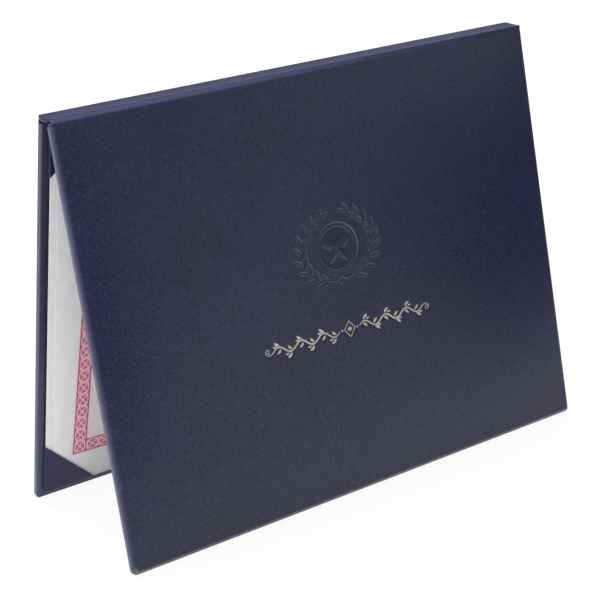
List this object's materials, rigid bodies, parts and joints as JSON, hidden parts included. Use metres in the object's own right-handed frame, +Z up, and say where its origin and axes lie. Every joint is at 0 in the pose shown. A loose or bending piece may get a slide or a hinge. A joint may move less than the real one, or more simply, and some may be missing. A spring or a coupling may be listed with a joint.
{
  "type": "padded certificate cover",
  "caption": "Padded leatherette certificate cover standing open as a tent: two cushioned boards on a folding spine, with corner pockets that hold a landscape sheet inside.",
  "frame": {"origin": "on the surface that the cover stands on, midway between its two standing edges and midway along its width", "axes": "+X along the fold, to the right as the front cover is seen; +Y from the front cover to the rear cover; +Z up"},
  "size_m": [0.293, 0.1074, 0.2196],
  "materials": {
    "leatherette": "satin",
    "pocket_leatherette": "satin",
    "lining": "matte",
    "foam": "matte",
    "greyboard": "matte",
    "backing_paper": "matte",
    "certificate_paper": "matte",
    "gold_foil": "satin"
  },
  "bodies": {
    "spine": {"spine_leatherette": "leatherette", "spine_board": "greyboard", "spine_liner": "lining", "front_hinge_fold": "leatherette", "rear_hinge_fold": "leatherette"},
    "rear_cover": {"rear_leatherette": "leatherette", "rear_foam_pad": "foam", "rear_board": "greyboard", "document_panel_wrap": "lining", "document_panel_card": "greyboard", "backing_sheet": "backing_paper", "certificate_sheet": "certificate_paper", "lower_left_pocket": "pocket_leatherette", "lower_right_pocket": "pocket_leatherette", "upper_left_pocket": "pocket_leatherette", "upper_right_pocket": "pocket_leatherette"},
    "front_cover": {"front_leatherette": "leatherette", "front_foam_pad": "foam", "front_board": "greyboard", "front_lining": "lining"}
  },
  "joints": [
    {"name": "rear_fold", "type": "hinge", "parent": "spine", "child": "rear_cover", "pos_m": [0, 0.0064, 0.21934], "axis": [1, 0, 0], "range_deg": [-12.25, 77.75], "deforming": ["rear_hinge_fold"]},
    {"name": "front_fold", "type": "hinge", "parent": "spine", "child": "front_cover", "pos_m": [0, -0.0064, 0.21934], "axis": [-1, 0, 0], "range_deg": [-12.25, 77.75], "deforming": ["front_hinge_fold"]}
  ]
}
